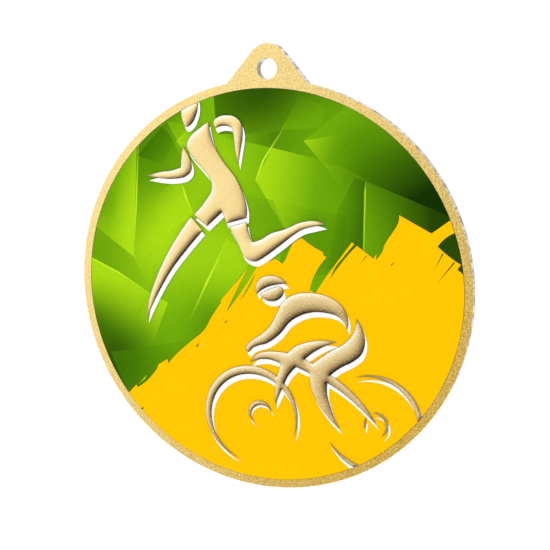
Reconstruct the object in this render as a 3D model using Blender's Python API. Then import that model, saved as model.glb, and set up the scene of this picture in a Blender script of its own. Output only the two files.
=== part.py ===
"""Sports finisher medal, modelled as its separate flat pieces.

A round steel blank with an eyelet lug carries a thin gold face on each side. A printed insert
sits in a pocket in the blank: a white plate, a green print and a yellow brush-edged print.
A runner and a cyclist stand on it as raised gold pieces, each on its own white underlay.

Metres, +Z up. The medal hangs upright with its decorated face towards -Y. The origin is the
centre of the eyelet's hole, halfway through the blank.
"""

import math

import bmesh
import bpy
from mathutils import Vector

MM = 0.001

# Blank
DISC_R = 35.0 * MM
CORE_T = 1.6 * MM
FACE_T = 0.10 * MM
LAYER_GAP = 0.03 * MM  # kept between any two layers that lie on each other

# Eyelet lug: a round top on two straight flanks that run down to the disc
HOLE_R = 1.75 * MM
HOLE_ABOVE_DISC = 1.7 * MM
LUG_TOP_R = 3.4 * MM
LUG_TOP_RISE = 0.7 * MM  # the round top's centre above the hole's centre
LUG_FOOT_HALF = 7.1 * MM

# Printed insert
RIM_W = 1.4 * MM
POCKET_D = 0.30 * MM
INSERT_FIT = 0.05 * MM  # radial clearance of everything that lies inside the rim
INSERT_T = 0.20 * MM
GREEN_T = 0.10 * MM
YELLOW_T = 0.08 * MM

# Emblem
UNDERLAY_T = 0.06 * MM
EMBLEM_T = 0.55 * MM
UNDERLAY_SHIFT = (0.38, -0.85)  # artwork units, to the right and down

# Smoothness
DISC_STEPS = 96
HOLE_STEPS = 32
LUG_STEPS = 14
TURN_PER_STEP = math.radians(10)
BAND_STEP = math.radians(11)
WELD = 0.001 * MM
SHARP = math.radians(35)

FIELD_R = DISC_R - RIM_W
INSERT_R = FIELD_R - INSERT_FIT
DISC_Z = -(DISC_R + HOLE_ABOVE_DISC)
ARTWORK_UNIT = FIELD_R / 33.6  # the artwork's points are drawn for a field of 33.6 units' radius

# A third value marks a point where the outline turns sharply; it runs smoothly through the others.
C = "corner"

RUNNER = {
    "runner_head": [
        (-15.4, 29.2), (-15.15, 28.0), (-14.5, 27.1), (-13.4, 27.7), (-12.65, 29.1), (-12.3, 30.8),
        (-12.6, 32.2), (-14.2, 32.4), (-15.2, 30.8),
    ],
    "runner_trailing_arm": [
        (-9.45, 28.0), (-8.7, 28.75), (-7.1, 29.1), (-5.6, 28.85), (-4.6, 28.0), (-4.2, 26.5),
        (-4.5, 23.9), (-5.0, 20.9, C), (-5.5, 23.0), (-5.85, 25.6), (-6.15, 27.05, C),
        (-7.6, 27.35), (-9.0, 26.95, C),
    ],
    "runner_leading_arm": [
        (-15.15, 23.9, C), (-14.3, 22.5), (-13.6, 21.0), (-13.65, 19.7), (-14.6, 18.7),
        (-16.4, 18.25), (-19.6, 18.25), (-21.95, 18.6, C), (-19.6, 19.25), (-17.2, 19.65),
        (-15.6, 20.2, C), (-15.45, 21.8),
    ],
    "runner_body": [
        (-10.4, 28.0, C), (-12.4, 26.65), (-13.9, 25.3), (-14.45, 23.9), (-13.6, 22.3),
        (-11.4, 19.9), (-10.1, 18.2), (-9.9, 16.6), (-11.0, 14.7), (-13.25, 12.15, C),
        (-10.75, 10.25, C), (-9.4, 11.5), (-7.95, 12.8, C), (-7.15, 10.9, C), (-3.55, 11.95, C),
        (-3.45, 13.4), (-4.0, 15.7), (-5.3, 18.4), (-7.9, 21.6), (-9.3, 23.9), (-10.1, 26.3),
    ],
    "runner_front_leg": [
        (-13.75, 11.8, C), (-11.55, 9.5, C), (-14.2, 6.5), (-17.2, 2.8), (-19.9, -1.5),
        (-22.5, -6.7, C), (-21.9, -3.1), (-20.4, 1.0), (-18.3, 5.2), (-16.0, 8.8),
    ],
    "runner_rear_leg": [
        (-6.75, 10.35, C), (-3.5, 11.3, C), (-3.15, 9.7), (-2.4, 7.95, C), (-1.0, 8.45),
        (0.7, 9.5), (3.2, 10.35), (6.4, 11.7), (8.5, 12.0), (10.3, 11.55, C), (8.4, 11.05),
        (6.4, 10.45), (3.4, 8.3), (0.5, 6.05), (-2.4, 4.65), (-3.7, 5.2), (-5.0, 7.4),
    ],
}

CYCLIST = {
    "cyclist_helmet": [
        (-1.6, -0.95, C), (-1.85, 0.3), (-1.1, 1.7), (0.8, 2.4), (2.6, 2.05), (3.8, 1.2, C),
        (2.2, 0.97), (0.5, 0.5), (-0.8, -0.2),
    ],
    "cyclist_face": [
        (-0.95, -1.05), (0.3, -0.1), (1.6, 0.45), (2.8, 0.5), (3.15, -0.35), (2.5, -1.45),
        (1.2, -2.0), (-0.2, -1.75),
    ],
    "cyclist_torso": [
        (-3.6, -10.8), (-2.9, -9.4), (-1.0, -8.0), (0.6, -6.5), (1.8, -4.4), (3.0, -2.0),
        (4.9, -0.65), (8.0, -0.1), (11.2, -0.65), (13.4, -2.0), (14.5, -4.2), (14.35, -6.0, C),
        (13.2, -4.1), (10.4, -3.3), (7.0, -3.75), (4.5, -5.2), (2.4, -7.7), (0.0, -9.45),
        (-2.2, -10.25), (-3.0, -11.15, C),
    ],
    "cyclist_frame": [
        (15.9, -3.95, C), (16.9, -5.5), (17.45, -7.7), (16.9, -9.9), (15.4, -11.3), (13.2, -12.6),
        (11.6, -13.95, C), (13.4, -15.0), (15.7, -16.8), (17.7, -18.85), (19.65, -21.7, C),
        (17.7, -19.9), (14.9, -17.6), (11.05, -15.3, C), (11.0, -17.0), (11.6, -19.3),
        (13.35, -23.2, C), (11.0, -21.0), (9.3, -18.8), (8.2, -16.5), (7.95, -13.95, C),
        (5.5, -13.05, C), (4.0, -14.9), (2.9, -17.3), (1.75, -20.0, C), (1.8, -17.2),
        (2.1, -14.9), (2.7, -12.75, C), (0.4, -12.15), (-1.2, -12.3), (-2.9, -13.0, C),
        (-1.5, -11.4), (0.3, -10.75), (2.2, -10.65), (3.95, -10.75, C), (5.3, -9.5), (7.4, -8.6),
        (10.0, -8.1), (12.6, -8.15, C), (10.4, -9.1), (7.05, -11.55, C), (8.4, -12.2, C),
        (9.8, -11.1), (11.8, -9.6), (13.9, -8.3), (15.2, -6.8), (15.85, -5.2),
    ],
}

# Round strokes that swell from a tip and taper to a tip:
# centre, radius of the outer edge, first and last angle in degrees, greatest width
FRONT_WHEEL = ((-2.7, -22.1), 8.53, -24, 254, 1.5)
WHEEL_ARCS = {
    "front_hub": ((-1.05, -21.7), 2.1, 2, 242, 0.8),
    "rear_wheel_upper": ((19.1, -21.75), 8.47, -62, 113, 0.85),
    "rear_wheel_lower": ((19.1, -21.75), 8.4, 207, 292, 0.7),
    "rear_hub": ((19.6, -21.75), 2.1, -66, 110, 0.5),
    "rear_hub_tail": ((19.6, -21.75), 2.1, 144, 206, 0.35),
}
FINE_UNDERLAYS = {"front_hub": 0.32, "rear_hub": 0.32, "rear_hub_tail": 0.25}  # greatest widths
CROSSES_RIM = ("runner_head", "rear_wheel_upper", "rear_wheel_lower")

# The yellow print's upper edge, from the rim on the left to the rim on the right, then round outside
YELLOW_EDGE = [
    (-29.0, -23.1, C), (-26.4, -20.7, C), (-24.9, -19.1, C), (-24.6, -19.5, C), (-23.4, -18.7),
    (-21.6, -16.9), (-20.6, -15.5), (-20.4, -14.9, C), (-18.6, -13.8, C), (-18.5, -14.6, C),
    (-17.1, -13.0), (-13.8, -10.0), (-11.6, -8.1), (-10.0, -5.4), (-8.2, -2.8, C), (-8.5, -2.7, C),
    (-6.9, -0.8), (-4.4, 2.1), (-3.1, 3.9, C), (-4.2, 1.8), (-5.4, -0.5), (-7.3, -4.4, C),
    (-5.5, -2.1), (-3.7, 0.5), (-2.6, 2.2), (-1.7, 3.7, C), (-0.5, 4.4, C), (1.65, 5.25, C),
    (2.9, 4.5, C), (3.5, 5.4), (4.7, 8.0), (6.3, 9.0, C), (8.7, 7.45), (9.9, 6.9, C),
    (10.1, 6.3, C), (10.6, 6.0, C), (9.0, 3.8), (8.3, 2.3), (7.7, 0.1, C), (8.0, 0.35, C),
    (8.5, -0.1, C), (8.9, 0.1, C), (10.3, 2.35), (11.1, 3.5, C), (14.9, 8.75, C), (15.3, 8.4, C),
    (13.4, 6.1), (12.0, 4.2), (11.3, 2.4, C), (12.6, 4.4), (15.75, 8.2, C), (18.6, 6.2, C),
    (19.1, 7.1, C), (19.0, 6.05, C), (20.0, 7.4), (20.4, 8.6), (21.7, 10.7), (22.6, 12.4),
    (22.7, 13.5, C), (28.0, 10.8, C), (30.9, 13.0, C), (33.5, 15.0, C), (39.0, 15.0, C),
    (39.0, -39.0, C), (-39.0, -39.0, C), (-39.0, -23.1, C),
]
# Green left bare inside it: one patch at the rim, then brush streaks and flecks
GREEN_ISLANDS = [
    [(29.05, 8.75, C), (29.7, 9.6, C), (31.7, 11.05, C), (36.0, 13.0, C), (36.0, 4.0, C),
     (33.2, 4.5, C), (32.3, 5.25, C), (32.85, 6.0, C), (31.85, 6.6, C), (30.1, 7.85, C)],
    [(30.0, 7.6, C), (28.5, 4.6, C), (29.85, 7.75, C)],
    [(31.7, 6.4, C), (31.9, 6.3, C), (29.0, 2.6, C)],
    [(22.2, 6.05, C), (21.65, 5.2, C), (21.5, 5.35, C)],
    [(17.5, 6.6, C), (16.35, 5.2, C), (17.35, 6.7, C)],
    [(-12.4, -10.3, C), (-13.2, -11.0, C), (-12.8, -11.2, C)],
    [(-7.05, -6.0, C), (-7.7, -6.65, C), (-7.45, -6.05, C)],
    [(-7.5, -7.1, C), (-8.3, -7.8, C), (-7.7, -7.3, C)],
    [(-23.4, -23.1, C), (-24.1, -23.4, C), (-23.7, -23.7, C)],
    [(-2.0, 2.6, C), (-3.3, 0.3), (-4.8, -2.4, C), (-3.7, -0.9), (-2.6, 0.9)],
]

STEEL = (0.62, 0.62, 0.64)
GOLD = (0.90, 0.70, 0.38)
WHITE = (0.92, 0.92, 0.92)
GREEN = (0.25, 0.50, 0.00)
YELLOW = (1.00, 0.58, 0.00)


def clear_scene():
    for old in list(bpy.data.objects):
        bpy.data.objects.remove(old)


def collection(name):
    made = bpy.data.collections.new(name)
    bpy.context.scene.collection.children.link(made)
    return made


def finish(name, colour, roughness, metallic):
    """A Principled material."""
    material = bpy.data.materials.new(name)
    material.use_nodes = True
    shader = material.node_tree.nodes["Principled BSDF"]
    shader.inputs["Base Color"].default_value = (*colour, 1.0)
    shader.inputs["Roughness"].default_value = roughness
    shader.inputs["Metallic"].default_value = metallic
    material.diffuse_color = (*colour, 1.0)
    return material


def arc(centre, radius, start, end, steps):
    """Points along a circle's arc, both ends included."""
    angles = (start + (end - start) * i / steps for i in range(steps + 1))
    return [centre + radius * Vector((math.cos(a), math.sin(a))) for a in angles]


def smooth_outline(marked):
    """A closed outline through the given points.

    Each smooth point's direction follows the circle through it and its neighbours. A corner has
    none of its own, so the stretch beside it leaves at the mirror of the angle it ends with.
    """
    points = [Vector(p[:2]) for p in marked]
    corner = [len(p) > 2 for p in marked]
    count = len(points)

    def direction(i):
        before, after = points[i] - points[i - 1], points[(i + 1) % count] - points[i]
        return (before.normalized() * after.length + after.normalized() * before.length).normalized()

    outline = []
    for i in range(count):
        j = (i + 1) % count
        start, end = points[i], points[j]
        chord = end - start
        along = chord.normalized()
        leave = along if corner[i] else direction(i)
        arrive = along if corner[j] else direction(j)
        if corner[i] and not corner[j]:
            leave = 2 * along.dot(arrive) * along - arrive
        if corner[j] and not corner[i]:
            arrive = 2 * along.dot(leave) * along - leave
        steps = max(1, math.ceil(leave.angle(arrive) / TURN_PER_STEP))
        for step in range(steps):
            s = step / steps
            outline.append(
                start * (2 * s**3 - 3 * s**2 + 1)
                + end * (3 * s**2 - 2 * s**3)
                + (leave * (s**3 - 2 * s**2 + s) + arrive * (s**3 - s**2)) * chord.length
            )
    return outline


def tapered_band(centre, radius, first, last, width):
    """Outline of a round stroke: its width runs as a half sine from tip to tip."""
    first, last = math.radians(first), math.radians(last)
    steps = math.ceil((last - first) / BAND_STEP)
    outer = arc(Vector(centre), radius, first, last, steps)
    inner = []
    for i in range(1, steps):
        angle = first + (last - first) * i / steps
        reach = radius - width * math.sin(math.pi * i / steps)
        inner.append(Vector(centre) + reach * Vector((math.cos(angle), math.sin(angle))))
    return outer + inner[::-1]


def on_medal(outline, shift=(0.0, 0.0)):
    """Artwork units from the disc's centre, as metres in the medal's plane."""
    centre = Vector((0.0, DISC_Z))
    return [centre + (point + Vector(shift)) * ARTWORK_UNIT for point in outline]


def blank_outline():
    """The disc with its eyelet lug: the lug's flanks are tangents from the disc to the round top."""
    foot_angle = math.asin(LUG_FOOT_HALF / DISC_R)
    disc_centre = Vector((0.0, DISC_Z))
    round_disc = arc(
        disc_centre, DISC_R, math.pi / 2 + foot_angle, 2.5 * math.pi - foot_angle, DISC_STEPS
    )
    top_centre = Vector((0.0, LUG_TOP_RISE))
    to_foot = round_disc[-1] - top_centre
    tangent = math.atan2(to_foot.y, to_foot.x) + math.acos(LUG_TOP_R / to_foot.length)
    return round_disc + arc(top_centre, LUG_TOP_R, tangent, math.pi - tangent, LUG_STEPS)


def circle_outline(centre, radius, steps):
    return arc(Vector(centre), radius, 0.0, 2 * math.pi * (steps - 1) / steps, steps - 1)


def plate(name, outlines, front, thickness, material, into):
    """A flat piece: the first outline filled, the others cut out of it. Front is its -Y face."""
    curve = bpy.data.curves.new(name, "CURVE")
    curve.dimensions = "2D"
    curve.fill_mode = "BOTH"
    curve.extrude = thickness / 2
    for outline in outlines:
        spline = curve.splines.new("POLY")
        spline.points.add(len(outline) - 1)
        for point, place in zip(spline.points, outline):
            point.co = (place.x, place.y, 0.0, 1.0)
        spline.use_cyclic_u = True
    drawn = bpy.data.objects.new(name + "_outline", curve)
    drawn.rotation_euler = (math.pi / 2, 0.0, 0.0)
    drawn.location = (0.0, front + thickness / 2, 0.0)
    bpy.context.scene.collection.objects.link(drawn)
    bpy.context.view_layer.update()
    seen = drawn.evaluated_get(bpy.context.evaluated_depsgraph_get())
    mesh = bpy.data.meshes.new_from_object(seen)
    mesh.transform(drawn.matrix_world)
    cleaned = bmesh.new()
    cleaned.from_mesh(mesh)
    bmesh.ops.remove_doubles(cleaned, verts=cleaned.verts, dist=WELD)
    bmesh.ops.recalc_face_normals(cleaned, faces=cleaned.faces)
    cleaned.to_mesh(mesh)
    cleaned.free()
    mesh.materials.clear()
    mesh.materials.append(material)
    mesh.shade_smooth()
    mesh.set_sharp_from_angle(angle=SHARP)
    made = bpy.data.objects.new(name, mesh)
    into.objects.link(made)
    bpy.data.objects.remove(drawn)
    return made


def boolean(target, operation, other):
    cut = target.modifiers.new(operation.lower(), "BOOLEAN")
    cut.operation = operation
    cut.solver = "EXACT"
    cut.object = other


def round_cutter(name, radius, front, depth, into):
    """A cylinder about the disc's axis, from its -Y face backwards."""
    bpy.ops.mesh.primitive_cylinder_add(
        vertices=DISC_STEPS,
        radius=radius,
        depth=depth,
        location=(0.0, front + depth / 2, DISC_Z),
        rotation=(math.pi / 2, 0.0, 0.0),
    )
    made = bpy.context.object
    made.name = name
    made.hide_render = True
    made.display_type = "WIRE"
    for owner in list(made.users_collection):
        owner.objects.unlink(made)
    into.objects.link(made)
    return made


def build():
    clear_scene()
    parts = collection("finisher_medal")
    cutters = collection("cutters")
    steel = finish("steel", STEEL, 0.35, 1.0)
    gold = finish("gold", GOLD, 0.40, 1.0)
    emblem_gold = finish("emblem_gold", GOLD, 0.35, 1.0)
    white = finish("white", WHITE, 0.45, 0.0)
    green = finish("green_print", GREEN, 0.45, 0.0)
    yellow = finish("yellow_print", YELLOW, 0.45, 0.0)

    # Blank: the steel core, with the insert's pocket in its front, and a gold face each side
    hole = circle_outline((0.0, 0.0), HOLE_R, HOLE_STEPS)
    blank = blank_outline()
    core_front = -CORE_T / 2
    core = plate("core_plate", [blank, hole], core_front, CORE_T, steel, parts)
    pocket = round_cutter("pocket", FIELD_R, core_front - POCKET_D, 2 * POCKET_D, cutters)
    boolean(core, "DIFFERENCE", pocket)
    window = circle_outline((0.0, DISC_Z), FIELD_R, DISC_STEPS)
    face_front = core_front - LAYER_GAP - FACE_T
    plate("front_face", [blank, hole, window], face_front, FACE_T, gold, parts)
    plate("back_face", [blank, hole], CORE_T / 2 + LAYER_GAP, FACE_T, gold, parts)

    # Insert: each layer lies on the one before, from the pocket's floor forwards
    field = circle_outline((0.0, DISC_Z), INSERT_R, DISC_STEPS)
    insert_front = core_front + POCKET_D - LAYER_GAP - INSERT_T
    plate("insert_plate", [field], insert_front, INSERT_T, white, parts)
    green_front = insert_front - LAYER_GAP - GREEN_T
    plate("green_print", [field], green_front, GREEN_T, green, parts)
    yellow_front = green_front - LAYER_GAP - YELLOW_T
    yellow_outlines = [on_medal(smooth_outline(o)) for o in [YELLOW_EDGE, *GREEN_ISLANDS]]
    sheet = plate("yellow_print", yellow_outlines, yellow_front, YELLOW_T, yellow, parts)

    # Emblem: the white underlay is the same outline, shifted, and a finer line under the hubs;
    # both stop at the rim
    underlay_front = yellow_front - LAYER_GAP - UNDERLAY_T
    emblem_front = underlay_front - LAYER_GAP - EMBLEM_T
    trim_depth = CORE_T + 2 * EMBLEM_T
    trim = round_cutter("field_trim", INSERT_R, emblem_front - EMBLEM_T, trim_depth, cutters)
    boolean(sheet, "INTERSECT", trim)
    outlines = {name: smooth_outline(points) for name, points in {**RUNNER, **CYCLIST}.items()}
    outlines.update({name: tapered_band(*stroke) for name, stroke in WHEEL_ARCS.items()})
    wheel = tapered_band(*FRONT_WHEEL)
    layers = (
        ("", (0.0, 0.0), emblem_front, EMBLEM_T, emblem_gold),
        ("_underlay", UNDERLAY_SHIFT, underlay_front, UNDERLAY_T, white),
    )
    for name, outline in outlines.items():
        for suffix, shift, front, thickness, material in layers:
            if suffix and name in FINE_UNDERLAYS:
                outline = tapered_band(*WHEEL_ARCS[name][:-1], FINE_UNDERLAYS[name])
            placed = on_medal(outline, shift)
            piece = plate(name + suffix, [placed], front, thickness, material, parts)
            if name in CROSSES_RIM:
                boolean(piece, "INTERSECT", trim)
            if name == "cyclist_frame":
                stroke = [on_medal(wheel, shift)]
                joined = plate("front_wheel" + suffix, stroke, front, thickness, material, cutters)
                joined.hide_render = True
                joined.display_type = "WIRE"
                boolean(piece, "UNION", joined)


build()
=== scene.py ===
"""Sports finisher medal: the fine surfaces and finishes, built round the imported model.

Metres, +Z up. The medal hangs upright with its decorated face towards -Y. The origin is the
centre of the eyelet's hole, halfway through the blank.
"""

import math

import bpy
import numpy as np
from mathutils import Matrix, Vector
from mathutils.geometry import delaunay_2d_cdt


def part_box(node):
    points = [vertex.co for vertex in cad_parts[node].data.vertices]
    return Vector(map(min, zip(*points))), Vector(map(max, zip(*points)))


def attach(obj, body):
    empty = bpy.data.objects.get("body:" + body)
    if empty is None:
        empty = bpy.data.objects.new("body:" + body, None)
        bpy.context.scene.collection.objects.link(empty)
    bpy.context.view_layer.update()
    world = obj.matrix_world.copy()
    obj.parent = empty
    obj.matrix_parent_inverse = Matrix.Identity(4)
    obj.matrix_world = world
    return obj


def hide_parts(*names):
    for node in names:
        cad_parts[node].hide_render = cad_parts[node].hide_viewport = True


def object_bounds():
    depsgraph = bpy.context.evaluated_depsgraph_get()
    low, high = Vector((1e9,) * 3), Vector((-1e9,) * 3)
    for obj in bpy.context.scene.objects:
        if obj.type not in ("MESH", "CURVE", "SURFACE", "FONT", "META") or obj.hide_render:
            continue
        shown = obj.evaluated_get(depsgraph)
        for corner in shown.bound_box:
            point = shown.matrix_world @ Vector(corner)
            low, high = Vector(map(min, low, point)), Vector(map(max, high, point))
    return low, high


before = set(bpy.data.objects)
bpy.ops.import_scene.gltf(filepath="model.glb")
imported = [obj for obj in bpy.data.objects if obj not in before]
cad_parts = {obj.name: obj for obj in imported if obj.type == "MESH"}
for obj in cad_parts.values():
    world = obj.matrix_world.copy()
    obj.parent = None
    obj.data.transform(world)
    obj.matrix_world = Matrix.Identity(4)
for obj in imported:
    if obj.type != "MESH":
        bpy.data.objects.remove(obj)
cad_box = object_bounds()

# ---- Steel blank ---------------------------------------------------------------------------
# The body of the medal: a disc with an eyelet lug, blanked from 1.6 mm steel strip in a press.
# The sheared edge and the punched hole stay bare and carry the die's drag marks. A shallow
# pocket in the front takes the printed insert.

MM = 0.001
WELD = 0.001 * MM
CORNER = math.radians(20)  # an outline that turns more than this at a point has a corner there
STRAIGHT = 4.0  # a stretch this many times longer than the next one is a straight run
RIM_STEP = 0.22 * MM
EDGE_ROUND = 0.05 * MM
ROUND_STEPS = 3
SUPPORT = 0.12 * MM  # a second line of points inside each edge keeps the flat faces flat
POCKET_DRAFT = 0.02 * MM
DRAG_DEPTH = 0.006 * MM
DRAG_LEVELS = 7
SHARP = math.radians(38)
SLIVER = 1e-6 * MM**2  # triangles below this area lie along an outline, not inside it
BATCH = 4_000_000  # point and edge pairs tested at once

PLAIN_STEEL = (0.47, 0.455, 0.485, 1.0)
BRIGHT_STEEL = (0.76, 0.755, 0.79, 1.0)
DARK_STEEL = (0.24, 0.225, 0.245, 1.0)


def outline_edges(triangles):
    """Directed edges of a flat triangulation that no second triangle runs along backwards."""
    edges = np.concatenate([triangles[:, [0, 1]], triangles[:, [1, 2]], triangles[:, [2, 0]]])
    size = triangles.max() + 1
    return edges[~np.isin(edges @ [size, 1], edges @ [1, size])]


def loops_of(triangles):
    """The corners along each outline of a flat triangulation, in order.

    Every corner on an outline knows the next one. Doubling that step again and again finds the
    lowest corner of each loop, and how many steps each corner is from it.
    """
    edges = outline_edges(triangles)
    corners = np.arange(triangles.max() + 1)
    after = corners.copy()
    after[edges[:, 0]] = edges[:, 1]
    doublings = range(len(corners).bit_length())
    lowest, jump = corners, after
    for _ in doublings:
        lowest, jump = np.minimum(lowest, lowest[jump]), jump[jump]
    steps, jump = (lowest != corners).astype(int), np.where(lowest == corners, corners, after)
    for _ in doublings:
        steps, jump = steps + steps[jump], jump[jump]
    ends = edges[:, 0]
    members = [ends[lowest[ends] == low] for low in np.unique(lowest[ends])]
    return [loop[np.argsort(-steps[loop])] for loop in members]


def cad_outlines(node):
    """Outlines of a CAD node's flat front as points (x, z), the widest first."""
    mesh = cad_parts[node].data
    mesh.calc_loop_triangles()
    corners = np.empty(len(mesh.vertices) * 3, np.float32)
    mesh.vertices.foreach_get("co", corners)
    triangles = np.empty(len(mesh.loop_triangles) * 3, np.int32)
    mesh.loop_triangles.foreach_get("vertices", triangles)
    corners, triangles = corners.reshape(-1, 3).astype(float), triangles.reshape(-1, 3)
    at_front = corners[:, 1] < corners[:, 1].min() + WELD
    places, number = np.unique(np.round(corners[:, ::2] / WELD), axis=0, return_inverse=True)
    front = number.reshape(-1)[triangles[at_front[triangles].all(axis=1)]]
    outlines = [places[loop] * WELD for loop in loops_of(front)]
    return sorted(outlines, key=lambda outline: -np.ptp(outline[:, 0]))


def smoothed(outline, spacing):
    """The outline as a smooth closed curve, with points about spacing apart.

    A point's direction is that of the circle through it and its neighbours, or of the straight
    run beside it. A corner has none: the stretch beside it leaves at the mirror of the angle it
    ends with. Each stretch between two points is the cubic with those end directions.
    """
    ahead = np.roll(outline, -1, axis=0) - outline
    length = np.hypot(*ahead.T)[:, None]
    ahead = ahead / length
    behind, before = np.roll(ahead, 1, axis=0), np.roll(length, 1, axis=0)
    through = behind * length + ahead * before
    through = through / np.maximum(np.hypot(*through.T), WELD * WELD)[:, None]
    through = np.where(length > STRAIGHT * before, ahead, through)
    through = np.where(before > STRAIGHT * length, behind, through)
    corner = (ahead * behind).sum(axis=1, keepdims=True) < math.cos(CORNER)
    next_through, next_corner = np.roll(through, -1, axis=0), np.roll(corner, -1, axis=0)

    def mirrored(direction):
        return 2 * (ahead * direction).sum(axis=1, keepdims=True) * ahead - direction

    leave = np.where(corner, np.where(next_corner, ahead, mirrored(next_through)), through)
    arrive = np.where(next_corner, np.where(corner, ahead, mirrored(through)), next_through)
    steps = np.ceil(length[:, 0] / spacing).astype(int)
    part = np.repeat(np.arange(len(outline)), steps)
    first = np.cumsum(steps) - steps
    s = ((np.arange(len(part)) - first[part]) / steps[part])[:, None]
    return (
        outline[part] * (2 * s**3 - 3 * s**2 + 1)
        + np.roll(outline, -1, axis=0)[part] * (3 * s**2 - 2 * s**3)
        + (leave[part] * (s**3 - 2 * s**2 + s) + arrive[part] * (s**3 - s**2)) * length[part]
    )


def outwards(outline):
    """Unit directions out of the material, to the right of the way the outline runs."""
    along = np.roll(outline, -1, axis=0) - np.roll(outline, 1, axis=0)
    return np.stack([along[:, 1], -along[:, 0]], axis=1) / np.hypot(*along.T)[:, None]


def is_inside(points, outlines):
    """Even-odd rule: a line from the point towards +x crosses the outlines an odd number of times."""
    start = np.concatenate(outlines)
    run = np.concatenate([np.roll(o, -1, axis=0) for o in outlines]) - start
    slope = run[:, 0] / np.where(run[:, 1] == 0, 1, run[:, 1])
    crossings = []
    for part in np.array_split(points, 1 + len(points) * len(start) // BATCH):
        height = part[:, 1:] - start[:, 1]
        spans = (height >= 0) != (height >= run[:, 1])
        crossings.append((spans & (start[:, 0] + height * slope > part[:, :1])).sum(axis=1))
    return np.concatenate(crossings) % 2 == 1


def triangulated(outlines, inside):
    """Points and triangles between the outlines: Delaunay triangles through the outlines' points
    and those inside, with the outlines as fixed edges. Triangles outside are dropped."""
    points = np.concatenate([*outlines, inside])
    first = np.cumsum([0] + [len(outline) for outline in outlines])
    ring = [np.arange(a, b) for a, b in zip(first, first[1:])]
    fixed = np.concatenate([np.stack([r, np.roll(r, -1)], axis=1) for r in ring])
    found = delaunay_2d_cdt((points / MM).tolist(), fixed.tolist(), [], 0, 1e-7)
    triangles = np.array(found[2])
    side = np.diff(points[triangles], axis=1)
    area = (side[:, 0, 0] * side[:, 1, 1] - side[:, 0, 1] * side[:, 1, 0]) / 2
    kept = (area > SLIVER) & is_inside(points[triangles].mean(axis=1), outlines)
    return compact(points, triangles[kept])


def compact(points, triangles):
    """Only the points that the triangles use, and the triangles numbered to suit."""
    used, triangles = np.unique(triangles, return_inverse=True)
    return points[used], triangles.reshape(-1, 3)


def slab(points, triangles, front, back, rings=()):
    """A closed solid on a flat triangulation, as vertices and faces.

    Its front is the triangulation at y = front, one value or one a point, and its back the same
    triangles, turned round, at y = back. From every outline of the front a wall runs to the back
    through the rings. A ring is y and how far it stands out, one value or a function of points.
    """
    count = len(points)
    depth = (np.broadcast_to(front, count), np.broadcast_to(back, count))
    vertices = [np.stack([points[:, 0], y, points[:, 1]], axis=1) for y in depth]
    faces, total = [*triangles.tolist(), *(triangles[:, ::-1] + count).tolist()], 2 * count
    for loop in loops_of(triangles):
        outline, out = points[loop], outwards(points[loop])
        levels = [loop]
        for y, outset in rings:
            reach = outset(outline) if callable(outset) else np.full(len(loop), outset)
            moved = outline + out * reach[:, None]
            vertices.append(np.stack([moved[:, 0], np.full(len(loop), y), moved[:, 1]], axis=1))
            levels.append(total + np.arange(len(loop)))
            total += len(loop)
        levels.append(loop + count)
        for near, far in zip(levels, levels[1:]):
            wall = np.stack([near, far, np.roll(far, -1), np.roll(near, -1)], axis=1)
            faces += wall.tolist()
    return np.concatenate(vertices), faces


def rounded_wall(front, back, radius, levels=0, wear=lambda points, share: 0.0):
    """Rings of a wall with a quarter circle at each edge: out and back by 1 - cos of the turn.
    Between them lie the levels, each standing out or in by the wear at its share of the way."""
    turns = np.linspace(0, math.pi / 2, ROUND_STEPS + 1)[1:]
    edge = [(radius * (1 - math.cos(t)), radius * math.sin(t)) for t in turns]
    flat = [(front + radius, back - radius, (i + 1) / (levels + 1)) for i in range(levels)]
    middle = [
        (a + (b - a) * s, lambda points, s=s: radius + wear(points, s)) for a, b, s in flat
    ]
    near = [(front + down, out) for down, out in edge]
    return near + middle + [(back - down, out) for down, out in reversed(edge)]


def piece(name, solid, material, nodes, sharp=SHARP):
    """A finished piece of the medal, standing for its CAD nodes."""
    mesh = bpy.data.meshes.new(name)
    mesh.from_pydata(solid[0].tolist(), [], solid[1])
    mesh.materials.append(material)
    mesh.shade_smooth()
    mesh.set_sharp_from_angle(angle=sharp)
    made = bpy.data.objects.new(name, mesh)
    bpy.context.scene.collection.objects.link(made)
    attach(made, "root")
    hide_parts(*nodes)
    return made


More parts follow.
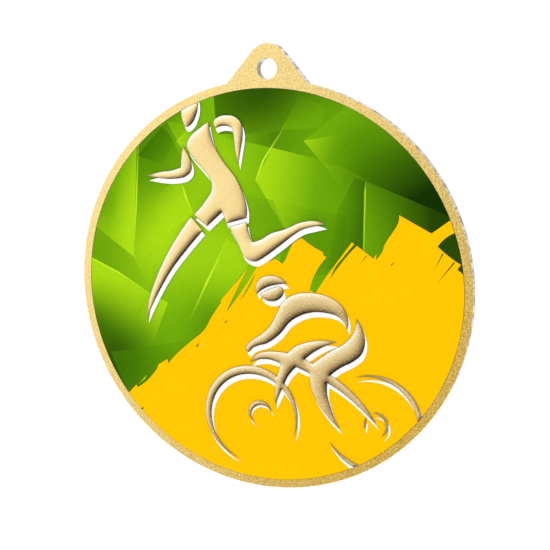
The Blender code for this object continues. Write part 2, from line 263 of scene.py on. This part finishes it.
class Field:
    """A socket of a material's nodes. Arithmetic on it adds Math nodes."""

    def __init__(self, tree, output):
        self.tree, self.output = tree, output

    def node(self, kind, settings, inputs, output=0):
        """Any other node: its settings first, a ramp's stops among them, then values or links."""
        made = self.tree.nodes.new(kind)
        for name, value in settings.items():
            if name == "stops":
                for _ in value[2:]:
                    made.color_ramp.elements.new(1.0)
                for element, (place, colour) in zip(made.color_ramp.elements, value):
                    element.position, element.color = place, colour
            else:
                setattr(made, name, value)
        for name, value in inputs.items():
            if isinstance(value, Field):
                self.tree.links.new(value.output, made.inputs[name])
            else:
                made.inputs[name].default_value = value
        return Field(self.tree, made.outputs[output])

    def maths(self, operation, first, second):
        return self.node("ShaderNodeMath", {"operation": operation}, {0: first, 1: second})

    def __add__(self, other):
        return self.maths("ADD", self, other)

    def __radd__(self, other):
        return self.maths("ADD", other, self)

    def __sub__(self, other):
        return self.maths("SUBTRACT", self, other)

    def __rsub__(self, other):
        return self.maths("SUBTRACT", other, self)

    def __mul__(self, other):
        return self.maths("MULTIPLY", self, other)

    def __rmul__(self, other):
        return self.maths("MULTIPLY", other, self)

    def noise(self, size, detail=2.0):
        """Noise whose lumps are about size across, near 0.5."""
        settings = {"noise_dimensions": "3D"}
        inputs = {"Vector": self, "Scale": 1 / size, "Detail": detail}
        return self.node("ShaderNodeTexNoise", settings, inputs)

    def between(self, first, second):
        """Colour mixed from the first to the second by this field."""
        settings = {"data_type": "RGBA", "clamp_factor": True}
        return self.node("ShaderNodeMix", settings, {0: self, 6: first, 7: second}, output=2)

    def times(self, strength):
        """Colour scaled by a strength."""
        settings = {"operation": "SCALE"}
        return self.node("ShaderNodeVectorMath", settings, {0: self, "Scale": strength})

    def dot(self, direction):
        """Length along a direction."""
        settings = {"operation": "DOT_PRODUCT"}
        return self.node("ShaderNodeVectorMath", settings, {0: self, 1: direction}, "Value")

    def feeds(self, shader, socket):
        self.tree.links.new(self.output, shader.inputs[socket])

    def dents(self, shader, depth):
        """This height, 0 to 1, as a bump of that depth on the shader's Normal."""
        inputs = {"Height": self, "Distance": depth, "Strength": 1.0}
        self.node("ShaderNodeBump", {}, inputs).feeds(shader, "Normal")


def finish(name, **constants):
    """A Principled material with its constants: the material, its shader, Object coordinates."""
    made = bpy.data.materials.new(name)
    made.use_nodes = True
    shader = made.node_tree.nodes["Principled BSDF"]
    for socket, value in constants.items():
        shader.inputs[socket.replace("_", " ")].default_value = value
    coordinates = made.node_tree.nodes.new("ShaderNodeTexCoord")
    return made, shader, Field(made.node_tree, coordinates.outputs["Object"])


def steel_finish():
    """Sheared steel: bright and dark drag marks that run across the plate's thickness, about a
    millimetre apart, with finer ones between and a grey grain, all darker towards the back."""
    made, shader, place = finish("sheared_steel", Metallic=1.0)
    across = place.node("ShaderNodeMapping", {}, {0: place, "Scale": (1.0, 0.12, 1.0)})
    bands, streaks, grain = across.noise(1.1 * MM), across.noise(0.35 * MM), place.noise(0.1 * MM)
    towards_back = place.dot((0.0, 1.0, 0.0)) * (1 / core_high.y)
    mark = 0.5 + (bands - 0.5) * 2.6 + (streaks - 0.5) * 1.6 + (grain - 0.5) * 0.7
    mark = mark - towards_back * 0.14
    stops = [(0.15, DARK_STEEL), (0.5, PLAIN_STEEL), (0.85, BRIGHT_STEEL)]
    mark.node("ShaderNodeValToRGB", {"stops": stops}, {0: mark}).feeds(shader, "Base Color")
    (0.46 - mark * 0.16).feeds(shader, "Roughness")
    (streaks + grain * 0.4).dents(shader, 0.02 * MM)
    return made


def drag_marks(points, share):
    """How far the die's drag marks stand out: sines round the disc whose pitch wanders, deeper
    towards the back of the plate, where the steel tears."""
    turn = np.arctan2(points[:, 1] - disc_centre[1], points[:, 0] - disc_centre[0])
    wave = np.sin(211 * turn + 2.1 * np.sin(17 * turn)) + 0.6 * np.sin(347 * turn + 9 * share)
    return DRAG_DEPTH * (0.25 + 0.75 * share) * wave / 1.6


core_low, core_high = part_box("core_plate")
insert_low, insert_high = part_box("insert_plate")
disc_centre = np.array([0.0, (insert_low.z + insert_high.z) / 2])
rim, window, eyelet = (smoothed(o, RIM_STEP) for o in cad_outlines("front_face"))
window_out = outwards(window)
layer_gap = insert_low.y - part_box("green_print")[1].y
pocket_floor = insert_high.y + layer_gap

drawn_in = [o - outwards(o) * EDGE_ROUND for o in (rim, eyelet)]
support = [o - outwards(o) * SUPPORT for o in (rim, eyelet)]
pocket_lines = [window, window + window_out * POCKET_DRAFT]
flat, flat_triangles = triangulated(drawn_in, np.concatenate([*support, *pocket_lines]))
from_centre = np.hypot(*(flat - disc_centre).T)
pocket_radius = np.hypot(*(pocket_lines[1] - disc_centre).T).max()
heights = np.where(from_centre <= pocket_radius + WELD, pocket_floor, core_low.y)
wall = rounded_wall(core_low.y, core_high.y, EDGE_ROUND, DRAG_LEVELS, drag_marks)
blank = slab(flat, flat_triangles, heights, core_high.y, wall)
piece("steel_blank", blank, steel_finish(), ["core_plate"])

# ---- Gold faces ----------------------------------------------------------------------------
# Front and back of the blank carry a thin gold-coloured layer with a fine blasted grain. In
# front it is left as a narrow ring round the insert and over the lug; the back is plain.

# Painted light and shade: the gold is painted paler towards the upper left, where the light comes from,
# and deeper towards the lower right
PALE_LIT_GOLD = (0.925, 0.725, 0.300, 1.0)
DEEP_SHADED_GOLD = (0.545, 0.350, 0.070, 1.0)
PAINTED_LIGHT_FROM = (-0.77, 0.0, 0.64)  # the side of the medal where painted light makes the gold palest
PAINTED_SHADE_REACH = 78 * MM
FACE_ROUND = 0.04 * MM


def painted_shade_across(place):
    """Painted shade across the medal: 0 on the lit, palest side to 1 on the shaded, deepest side, along
    one direction.
    """
    middle = Vector((0.0, 0.0, disc_centre[1])).dot(Vector(PAINTED_LIGHT_FROM))
    return 0.5 - (place.dot(PAINTED_LIGHT_FROM) - middle) * (1 / PAINTED_SHADE_REACH)


def gold_finish(name, grain_size):
    """Blasted gold: a fine sparkling grain, a little coarser mottling, painted shade that deepens the
    gold away from the light side, and a grain that shows more where that painted shade is deeper."""
    made, shader, place = finish(name, Metallic=1.0)
    grain, mottle = place.noise(grain_size, 3.0), place.noise(1.4 * MM)
    # painted shade across the medal, with a coarser random mottle over it
    tone = painted_shade_across(place) + (mottle - 0.5) * 0.3
    sparkle = 1.0 + (grain - 0.5) * (0.30 + tone * 1.3)
    painted_shade_and_grain = tone + (0.5 - grain) * 0.9
    painted_shade_and_grain.between(PALE_LIT_GOLD, DEEP_SHADED_GOLD).times(sparkle).feeds(shader, "Base Color")
    (0.36 + (grain - 0.5) * 0.5).feeds(shader, "Roughness")
    grain.dents(shader, 0.012 * MM)
    return made


def gold_face(name, node, outlines, material):
    """A thin flat layer with softly rounded edges, between the node's two faces."""
    low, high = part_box(node)
    drawn_in = [o - outwards(o) * FACE_ROUND for o in outlines]
    support = np.concatenate([o - outwards(o) * SUPPORT for o in outlines])
    points, triangles = triangulated(drawn_in, support)
    solid = slab(points, triangles, low.y, high.y, rounded_wall(low.y, high.y, FACE_ROUND))
    piece(name, solid, material, [node])


blasted_gold = gold_finish("blasted_gold", 0.30 * MM)
gold_face("gold_front", "front_face", [rim, window, eyelet], blasted_gold)
gold_face("gold_back", "back_face", [rim, eyelet], blasted_gold)

# ---- Insert plate --------------------------------------------------------------------------
# A thin white aluminium disc, glued into the pocket; the prints lie on it. Only its rim shows
# in the hairline gap round the insert.

ENAMEL = (0.985, 0.985, 0.985, 1.0)
ENAMEL_SHADE = (0.96, 0.96, 0.965, 1.0)


def enamel_finish():
    """White lacquer with a faint cloudiness and an orange-peel surface."""
    made, shader, place = finish("white_enamel", Roughness=0.45, Specular_IOR_Level=0.2)
    cloud = place.noise(2.5 * MM)
    cloud.between(ENAMEL, ENAMEL_SHADE).feeds(shader, "Base Color")
    place.noise(0.3 * MM).dents(shader, 0.003 * MM)
    return made


white_enamel = enamel_finish()
insert_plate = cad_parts["insert_plate"]
insert_plate.material_slots[0].material = white_enamel

# ---- Green print ---------------------------------------------------------------------------
# The insert's ground: a full disc printed with overlapping translucent shards in six greens,
# dark at the top, the lower left and the right, and a few thin bright slivers along folds.

NIGHT = (0.0045, 0.028, 0.0)
DEEP = (0.0200, 0.088, 0.0)
LEAF = (0.067, 0.215, 0.0)
GRASS = (0.165, 0.412, 0.002)
LIME = (0.395, 0.690, 0.006)
FLASH = (0.580, 0.880, 0.030)
PRINT_STEP = 0.62 * MM
FIELD_STEPS = 240
CLEAR_OF_RIM = 0.4  # of a print step, between the grid and the rim


def pool(x, z, reach):
    """A soft round patch: strongest at its centre, falling off as a bell curve."""
    return lambda p: np.exp(-((p[..., 0] - x) ** 2 + (p[..., 1] - z) ** 2) / reach**2)


def fade(start, end):
    """Full strength at the start, thinning evenly to none at the end."""
    way = np.subtract(end, start)
    return lambda p: np.clip(1 - (p - start) @ way / (way @ way), 0, 1)


# Each stroke of the print, in the order it is laid down: ink, how strongly it covers, how it
# thins out, and the shard it fills, or None for the whole disc. Millimetres from its centre.
STROKES = [
    (LIME, 0.85, pool(-19, 8, 9.0), None),
    (LIME, 0.60, pool(-9, 21, 6.0), None),
    (LIME, 0.50, pool(-7, 5, 8.0), None),
    (LIME, 0.30, pool(-30, 10, 6.0), None),
    (LEAF, 0.75, pool(-23, 26, 6.5), None),
    (LEAF, 0.80, pool(-9, -8, 6.5), None),
    (LEAF, 0.60, pool(-32, 14, 5.0), None),
    (LEAF, 0.50, pool(10, 8, 7.0), None),
    (LEAF, 0.75, fade((-24, 19), (-17, 13)),
     [(-23.7, 30), (-25, 4.2), (-15, 13), (-15.5, 22), (-18, 26)]),
    (LIME, 0.90, fade((-24.2, 14), (-28.5, 15)),
     [(-23.7, 30), (-25, 4.2), (-32.5, 9.3), (-40, 12), (-36, 26)]),
    (FLASH, 0.75, pool(-24.4, 14, 9.0),
     [(-23.6, 24), (-24.2, 13), (-25, 4.2), (-24.5, 13), (-23.8, 24)]),
    (LEAF, 0.50, fade((-31, 5), (-22, -1)),
     [(-34, 10.3), (-32.5, 9.3), (-25, 4.2), (-21.8, -2.2), (-28, 1.3), (-36, 4.8)]),
    (LIME, 0.90, fade((-26, 0), (-27, -10)),
     [(-36, 4.8), (-28, 1.3), (-21.8, -2.2), (-18.4, -3.6), (-20, -7.5), (-21.5, -11.5),
      (-26, -22), (-38, -20)]),
    (LIME, 0.60, fade((-19, -5), (-24, -8)),
     [(-21.8, -2.2), (-18.4, -3.6), (-20, -7.5), (-21.5, -11.5), (-22.6, -14), (-25, -8)]),
    (FLASH, 0.95, pool(-28, 1, 7.0),
     [(-36, 4.65), (-28, 1.3), (-21.8, -2.2), (-28, 1.05), (-36, 4.35)]),
    (DEEP, 0.55, fade((-21.5, 25.5), (-17, 22)),
     [(-24, 22), (-18.3, 28), (-16.4, 24.8), (-19.3, 20.5)]),
    (DEEP, 0.60, fade((-20.5, 28.5), (-18.6, 25.8)),
     [(-27, 23), (-18.3, 28), (-14.5, 27.5), (-14, 33), (-24, 31)]),
    (LIME, 0.30, fade((-16, 25), (-16, 29)),
     [(-18.3, 28), (-14.4, 27.4), (-13, 25.5), (-16.3, 24.8)]),
    (LIME, 0.70, fade((-14.5, 24), (-13, 27.5)),
     [(-16.5, 24.6), (-14.9, 26.4), (-12, 27), (-14.5, 22.5)]),
    (DEEP, 0.65, fade((2, 33), (6, 24)),
     [(-9.7, 36), (-9.3, 29.2), (-8.6, 25.9), (-4, 26), (2.5, 26.7), (9.3, 27.2), (20, 36)]),
    (NIGHT, 0.70, pool(-1.5, 34.5, 8.5),
     [(-9.7, 36), (-9.3, 29.2), (-8.6, 25.9), (-4, 26), (2.5, 26.7), (9.3, 27.2), (20, 36)]),
    (DEEP, 0.65, fade((1.5, 25.5), (-9.5, 25.5)),
     [(-7.6, 26), (-4, 26), (2.5, 26.7), (1, 23.8), (-4, 24.8), (-7.4, 25.3)]),
    (DEEP, 0.45, fade((3, 26), (12, 22)),
     [(2.5, 26.7), (9.3, 27.2), (6.4, 25.1), (9.2, 22.1), (1, 23.8)]),
    (GRASS, 0.45, fade((7, 28), (6, 33)),
     [(2.5, 26.7), (4.3, 30.0), (5.6, 32.6), (10.2, 30.6), (9.3, 27.2)]),
    (LIME, 0.80, fade((-0.5, 18.5), (8.5, 17.5)),
     [(-2, 18.4), (1, 23.8), (9.2, 22.1), (12.8, 18), (14, 13), (10.5, 13.4), (3.2, 10.4)]),
    (LIME, 0.75, fade((6.6, 24.8), (11.5, 22.5)),
     [(6.4, 25.1), (13.5, 26.4), (20, 28), (17, 20), (14.1, 20.6), (12.8, 18)]),
    (LIME, 0.30, fade((10, 21), (15, 18.5)), [(9.8, 21.5), (14.1, 20.6), (12.7, 17.9)]),
    (LEAF, 0.35, fade((0, 13), (-3, 18)), [(-3.8, 15.8), (1.2, 15.2), (3.2, 10.4), (-3.6, 6)]),
    (LEAF, 0.35, fade((8, 9), (5, 17)),
     [(1.2, 15.2), (10.5, 13.4), (14, 13), (13, 3), (2, 3), (3.2, 10.4)]),
    (LEAF, 0.70, pool(17, 22, 7.0), None),
    (DEEP, 0.80, fade((17, 14), (11.5, 15)),
     [(15.2, 19.3), (17, 18.8), (16.8, 4), (10.6, 4), (12.4, 14)]),
    (DEEP, 0.70, pool(27, 21, 11.0), None),
    (NIGHT, 1.00, fade((25.5, 16.5), (20.5, 25.5)),
     [(17, 18.8), (34, 12.4), (40, 20), (26, 36), (12, 22)]),
    (NIGHT, 0.90, fade((28, 12), (17, 13)), [(17, 18.8), (34, 12.4), (36, 0), (16.9, 4)]),
    (FLASH, 0.95, pool(16.9, 13, 6.5),
     [(17, 18.8), (17.08, 17), (16.95, 6), (16.72, 6), (16.82, 17)]),
    (FLASH, 0.90, pool(-0.2, 21.5, 4.2),
     [(-2.1, 18.4), (-0.75, 21.8), (2.5, 26.7), (4.4, 30.1), (2.45, 26.1), (-0.4, 21.8),
      (-1.8, 18.4)]),
    (LIME, 0.45, fade((-7, 7), (-10, -4)),
     [(-7.3, 8.4), (-4.6, 6.9), (-3, 4.5), (-9, -4), (-15, -8), (-11, 0.5)]),
    (FLASH, 0.80, pool(-10.3, 1.5, 5.0),
     [(-7.6, 7.6), (-9.3, 4), (-11.2, 0.5), (-15, -8), (-10.8, 0.4), (-8.9, 4.2)]),
    (LIME, 0.70, fade((-14.6, 15), (-20, 17)), [(-15.9, 18.5), (-13.4, 12.2), (-18, 9), (-22, 14)]),
    (FLASH, 0.90, pool(-14.7, 15, 3.0),
     [(-15.9, 18.6), (-15, 15.2), (-13.5, 12), (-14.7, 15.2)]),
    (DEEP, 0.90, pool(-28.5, -17.5, 9.0), None),
    (DEEP, 0.75, pool(-34, -9, 6.0), None),
    (NIGHT, 0.50, pool(-29, -14, 5.5), None),
    (LEAF, 0.50, fade((-15, -14), (-15, -8)),
     [(-14, -9.9), (-22, -11.9), (-30, -13.5), (-26, -22), (-10, -14)]),
    (FLASH, 0.80, pool(-23.6, -18, 2.0), [(-22.7, -17), (-24.7, -19.2), (-23.2, -17.9)]),
]


def print_points():
    """Points (x, z) in millimetres: the disc's rim, every shard's corners, and a hexagonal grid
    for the soft patches; and the edges that keep the rim and the shards sharp."""
    radius = (insert_high.x - insert_low.x) / 2 / MM
    turns = np.arange(FIELD_STEPS) * 2 * math.pi / FIELD_STEPS
    rim = radius * np.stack([np.cos(turns), np.sin(turns)], axis=1)
    shards = [rim, *(np.array(stroke[3], float) for stroke in STROKES if stroke[3])]
    first = np.cumsum([0] + [len(shard) for shard in shards])
    ring = [np.arange(a, b) for a, b in zip(first, first[1:])]
    edges = np.concatenate([np.stack([r, np.roll(r, -1)], axis=1) for r in ring])
    grid = hexagonal(np.full(2, -radius), np.full(2, radius), PRINT_STEP / MM)
    grid = grid[np.hypot(*grid.T) < radius - CLEAR_OF_RIM * PRINT_STEP / MM]
    return np.concatenate([*shards, grid]), edges, radius


def hexagonal(low, high, spacing):
    """Points of a hexagonal grid over a rectangle: every second row is shifted by half a step."""
    rows = np.arange(low[1], high[1], spacing * math.sqrt(0.75))
    x, z = np.meshgrid(np.arange(low[0], high[0], spacing), rows)
    x[1::2] += spacing / 2
    return np.stack([x.ravel(), z.ravel()], axis=1)


def print_colours(points, triangles):
    """Colour of every corner of every triangle: the strokes laid over each other in order. A
    stroke covers a corner by its strength there, if the triangle's middle is in its shard."""
    corner, middle = points[triangles], points[triangles].mean(axis=1)
    colour = np.broadcast_to(GRASS, (*corner.shape[:2], 3)).copy()
    for ink, strength, thinning, shard in STROKES:
        cover = strength * thinning(corner)
        if shard:
            cover = cover * is_inside(middle, [np.array(shard, float)])[:, None]
        colour += cover[..., None] * (np.array(ink) - colour)
    return colour


def print_finish(name, colour_of):
    """Matt ink: its colour, a faint halftone mottle, and the surface of a coated sheet."""
    made, shader, place = finish(name, Roughness=0.55, Specular_IOR_Level=0.02)
    mottle = 1.0 + (place.noise(0.5 * MM, 3.0) - 0.5) * 0.16
    colour_of(place).times(mottle).feeds(shader, "Base Color")
    place.noise(0.25 * MM).dents(shader, 0.002 * MM)
    return made


points, edges, field_radius = print_points()
found = delaunay_2d_cdt(points.tolist(), edges.tolist(), [], 0, 1e-6)
points, triangles = np.array(found[0]), np.array(found[2])
reach = np.hypot(*points[triangles].mean(axis=1).T)
triangles = triangles[reach < field_radius * math.cos(math.pi / FIELD_STEPS)]
points, triangles = compact(points, triangles)
green_low, green_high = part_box("green_print")
solid = slab(points * MM + disc_centre, triangles, green_low.y, green_high.y)
attribute = "ink"
green_ink = print_finish(
    "green_ink",
    lambda place: place.node("ShaderNodeAttribute", {"attribute_name": attribute}, {}),
)
green_sheet = piece("shard_print", solid, green_ink, ["green_print"])
colours = np.ones((len(green_sheet.data.loops), 4))
colours[:, :3] = GRASS
colours[: triangles.size, :3] = print_colours(points, triangles).reshape(-1, 3)
inks = green_sheet.data.color_attributes.new(attribute, "FLOAT_COLOR", "CORNER")
inks.data.foreach_set("color", colours.astype(np.float32).ravel())

# ---- Yellow print --------------------------------------------------------------------------
# A second print over the lower half, flat warm yellow, with a torn brush-stroke edge and a few
# dry-brush gaps where the green shows through.

YELLOW = (0.95, 0.530, 0.0, 1.0)
DRAGGED_YELLOW = (0.93, 0.515, 0.0, 1.0)
PRINT_EDGE_STEP = 0.12 * MM


def cut_sheet(name, node, spacing, material):
    """The node's outline made smooth and filled, between the node's two faces."""
    low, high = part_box(node)
    outlines = [smoothed(outline, spacing) for outline in cad_outlines(node)]
    points, triangles = triangulated(outlines, np.empty((0, 2)))
    piece(name, slab(points, triangles, low.y, high.y), material, [node])


def yellow_colour(place):
    """Even yellow with long faint brush drags, a hair deeper."""
    drawn = place.node("ShaderNodeMapping", {}, {0: place, "Scale": (0.3, 1.0, 1.0)})
    return (drawn.noise(3 * MM) * 0.5).between(YELLOW, DRAGGED_YELLOW)


yellow_ink = print_finish("yellow_ink", yellow_colour)
cut_sheet("brush_print", "yellow_print", PRINT_EDGE_STEP, yellow_ink)

# ---- Emblem underlays ----------------------------------------------------------------------
# White shapes under the runner and the cyclist, the same outlines moved right and down, so that
# a white edge shows below and to the right of every raised shape.

FIGURE_STEP = 0.10 * MM
UNDERLAY = "_underlay"

for node in sorted(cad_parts):
    if node.endswith(UNDERLAY):
        name = node.replace(UNDERLAY, "_white")
        cut_sheet(name, node, FIGURE_STEP, white_enamel)

# ---- Emblem reliefs ------------------------------------------------------------------------
# The runner and the cyclist: pillow-shaped gold shapes, with a painted highlight on their upper left
# slopes and painted shade, near black, on their lower right ones. The cyclist's gold is the grainier.

RELIEF_STEP = 0.11 * MM
RELIEF_FOOT = 0.06 * MM  # upright edge below the pillow
CLEAR_OF_EDGE = 0.55  # of a relief step, between the grid and an outline
PILLOW_REACH = 0.60  # millimetres over which the pillow rises from its edge
LIGHT_TURN = math.radians(42)  # from straight up towards the left
LIGHT_SIDE = (-math.sin(LIGHT_TURN), 0.0, math.cos(LIGHT_TURN))
DARK_FOOT_RISE = 0.07 * MM  # how high the darker band at the foot of a relief reaches
DARK_FOOT_KEEPS = 0.42  # how much of the gold's brightness that darker band keeps
SOLVER_ROUNDS = 400
SOLVER_END = 1e-5
RELIEF_SHARP = math.radians(60)

# Colours of the gold with painted light and shade, from near-black painted shade on a slope that
# faces away from the light side to a painted pale highlight on one that faces it. A flat top is at
# 0.5, a slope at 0.5 plus half its lean's sine.
RUNNER_SHADES = [
    (0.16, (0.010, 0.007, 0.004, 1.0)), (0.26, (0.08, 0.05, 0.025, 1.0)),
    (0.36, (0.36, 0.25, 0.12, 1.0)), (0.45, (0.78, 0.59, 0.26, 1.0)),
    (0.50, (0.88, 0.69, 0.31, 1.0)), (0.60, (0.90, 0.78, 0.47, 1.0)),
    (0.72, (0.92, 0.90, 0.84, 1.0)),
]
CYCLIST_SHADES = [
    (0.18, (0.012, 0.009, 0.005, 1.0)), (0.28, (0.06, 0.04, 0.02, 1.0)),
    (0.38, (0.26, 0.18, 0.08, 1.0)), (0.46, (0.52, 0.37, 0.16, 1.0)),
    (0.51, (0.68, 0.51, 0.24, 1.0)), (0.62, (0.84, 0.70, 0.42, 1.0)),
    (0.76, (0.90, 0.86, 0.78, 1.0)),
]


def pillow(points, triangles):
    """Height of a pillow over a flat triangulation, 0 at its outlines and near 1 far inside.

    It is a skin held down along the outlines and pushed up evenly, with springs that stop it at
    1: height minus reach squared times its curvature is 1. The skin's stiffness between two
    points is the sum of the cotangents opposite their edge; conjugate gradients find the rest.
    """
    count = len(points)
    corner = points[triangles] / MM
    side = np.roll(corner, -1, axis=1) - corner
    to_previous = -np.roll(side, 1, axis=1)
    across = side[..., 0] * to_previous[..., 1] - side[..., 1] * to_previous[..., 0]
    stiffness = PILLOW_REACH**2 * (side * to_previous).sum(axis=2) / across / 2
    a, b = np.roll(triangles, -1, axis=1).ravel(), np.roll(triangles, 1, axis=1).ravel()
    weight = stiffness.ravel()
    share = np.bincount(triangles.ravel(), np.repeat(across[:, 0] / 6, 3), count)
    free = ~np.isin(np.arange(count), outline_edges(triangles))
    diagonal = share + np.bincount(a, weight, count) + np.bincount(b, weight, count)
    diagonal = np.where(free, diagonal, 1)

    def pulled(height):
        pull = weight * (height[a] - height[b])
        return free * (share * height + np.bincount(a, pull, count) - np.bincount(b, pull, count))

    height, rest = np.zeros(count), free * share
    scaled = rest / diagonal
    way, size = scaled, rest @ scaled
    goal = size * SOLVER_END**2
    for _ in range(SOLVER_ROUNDS):
        response = pulled(way)
        step = size / (way @ response)
        height, rest = height + step * way, rest - step * response
        scaled, before = rest / diagonal, size
        size = rest @ scaled
        if size < goal:
            break
        way = scaled + way * size / before
    return np.clip(height, 0, 1)


def relief(node, material):
    """The node's outline made smooth and raised: an upright foot, then the pillow, as tall as the
    node where it is wide and lower where it is narrow."""
    low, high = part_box(node)
    outlines = [smoothed(outline, RELIEF_STEP) for outline in cad_outlines(node)]
    edge = np.concatenate(outlines)
    grid = hexagonal(edge.min(axis=0), edge.max(axis=0), RELIEF_STEP)
    kept_off = CLEAR_OF_EDGE * RELIEF_STEP
    grid = grid[is_inside(grid, [o - outwards(o) * kept_off for o in outlines])]
    points, triangles = triangulated(outlines, grid)
    foot = high.y - RELIEF_FOOT
    front = foot + (low.y - foot) * pillow(points, triangles)
    solid = slab(points, triangles, front, high.y)
    piece(node + "_relief", solid, material, [node], RELIEF_SHARP)


def relief_finish(name, shades, grain_size, grain_strength):
    """Gold with painted light and shade: its colour follows how far the surface leans to the light
    side, from painted shade to a painted highlight, with a grain that breaks up the painted shade's
    edge, and a darker band at its foot."""
    made, shader, place = finish(name, Metallic=1.0)
    # painted light and shade: the colour is set by how far the surface leans towards a fixed light side
    leaning = place.node("ShaderNodeTexCoord", {}, {}, "Normal").dot(LIGHT_SIDE)
    grain = place.noise(grain_size, 3.0)
    shade = 0.5 + leaning * 0.5 + (grain - 0.5) * grain_strength * 0.4
    # the ramp of painted shade and painted highlight colours
    painted_light_and_shade = shade.node("ShaderNodeValToRGB", {"stops": shades}, {0: shade})
    sparkle = 1.0 + (grain - 0.5) * grain_strength
    # a darker band along the lowest part of each relief, at its foot
    above_foot = (relief_foot - place.dot((0.0, 1.0, 0.0))) * (1 / DARK_FOOT_RISE)
    above_dark_foot = above_foot.node("ShaderNodeClamp", {}, {0: above_foot})
    painted_light_and_shade.times(sparkle * (DARK_FOOT_KEEPS + above_dark_foot * (1 - DARK_FOOT_KEEPS))).feeds(shader, "Base Color")
    (0.42 + (grain - 0.5) * 0.4).feeds(shader, "Roughness")
    grain.dents(shader, 0.008 * MM)
    return made


relief_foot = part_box("runner_body")[1].y - RELIEF_FOOT
runner_gold = relief_finish("runner_gold", RUNNER_SHADES, 0.30 * MM, 0.16)
cyclist_gold = relief_finish("cyclist_gold", CYCLIST_SHADES, 0.22 * MM, 0.45)
for node in sorted(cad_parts):
    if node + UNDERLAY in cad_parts:
        relief(node, runner_gold if node.startswith("runner") else cyclist_gold)

# ---- Floor, light and camera ---------------------------------------------------------------
# The medal hangs a little above a plain white floor, under an even white sky, with one large
# soft light high on the left in front of it and one overhead.

FLOOR_DROP = 30 * MM
FLOOR_HALF = 4.0
FLOOR_PALE, FLOOR_PALER = (0.96, 0.96, 0.96, 1.0), (0.97, 0.97, 0.97, 1.0)
SKY_STRENGTH = 1.06
CAMERA_AIM = (1.56 * MM, -0.93 * MM, 2.51 * MM)  # from the disc's centre
CAMERA_AZIMUTH = math.radians(19.72)
CAMERA_ELEVATION = math.radians(9.53)
CAMERA_ROLL = 0.0038
CAMERA_DISTANCE = 180.5 * MM
CAMERA_LENS = 70.05


def floor():
    """A wide square, faintly uneven in tone."""
    made, shader, place = finish("pale_floor", Roughness=0.9, Specular_IOR_Level=0.1)
    place.noise(200 * MM).between(FLOOR_PALE, FLOOR_PALER).feeds(shader, "Base Color")
    level = cad_box[0].z - FLOOR_DROP
    corners = np.array([(-1, -1), (1, -1), (1, 1), (-1, 1)]) * FLOOR_HALF
    mesh = bpy.data.meshes.new("floor")
    mesh.from_pydata([(x, y, level) for x, y in corners], [], [(0, 1, 2, 3)])
    mesh.materials.append(made)
    square = bpy.data.objects.new("floor", mesh)
    bpy.context.scene.collection.objects.link(square)


def soft_light(name, place, size, power):
    """A square light, facing the disc's centre."""
    light = bpy.data.lights.new(name, "AREA")
    light.size, light.energy = size, power
    made = bpy.data.objects.new(name, light)
    centre = Vector((0.0, 0.0, disc_centre[1]))
    made.location = centre + Vector(place)
    made.rotation_euler = (-Vector(place)).to_track_quat("-Z", "Y").to_euler()
    bpy.context.scene.collection.objects.link(made)


def camera():
    """Turned round the disc by its azimuth and raised by its elevation, with a slight roll."""
    aim = Vector((0.0, 0.0, disc_centre[1])) + Vector(CAMERA_AIM)
    back = Vector((
        math.sin(CAMERA_AZIMUTH) * math.cos(CAMERA_ELEVATION),
        -math.cos(CAMERA_AZIMUTH) * math.cos(CAMERA_ELEVATION),
        math.sin(CAMERA_ELEVATION),
    ))
    lens = bpy.data.cameras.new("camera")
    lens.lens = CAMERA_LENS
    lens.clip_start = 0.01
    made = bpy.data.objects.new("camera", lens)
    turned = (-back).to_track_quat("-Z", "Y").to_matrix().to_4x4()
    made.matrix_world = (
        Matrix.Translation(aim + back * CAMERA_DISTANCE) @ turned @ Matrix.Rotation(CAMERA_ROLL, 4, "Z")
    )
    bpy.context.scene.collection.objects.link(made)
    bpy.context.scene.camera = made


floor()
soft_light("key_light", (-0.55, -0.60, 0.55), 0.5, 0.3)
soft_light("top_light", (0.0, -0.10, 0.90), 0.9, 1.0)
camera()
world = bpy.data.worlds.new("sky")
world.use_nodes = True
world.node_tree.nodes["Background"].inputs["Color"].default_value = (1.0, 1.0, 1.0, 1.0)
world.node_tree.nodes["Background"].inputs["Strength"].default_value = SKY_STRENGTH
bpy.context.scene.world = world
bpy.context.scene.view_settings.view_transform = "Standard"
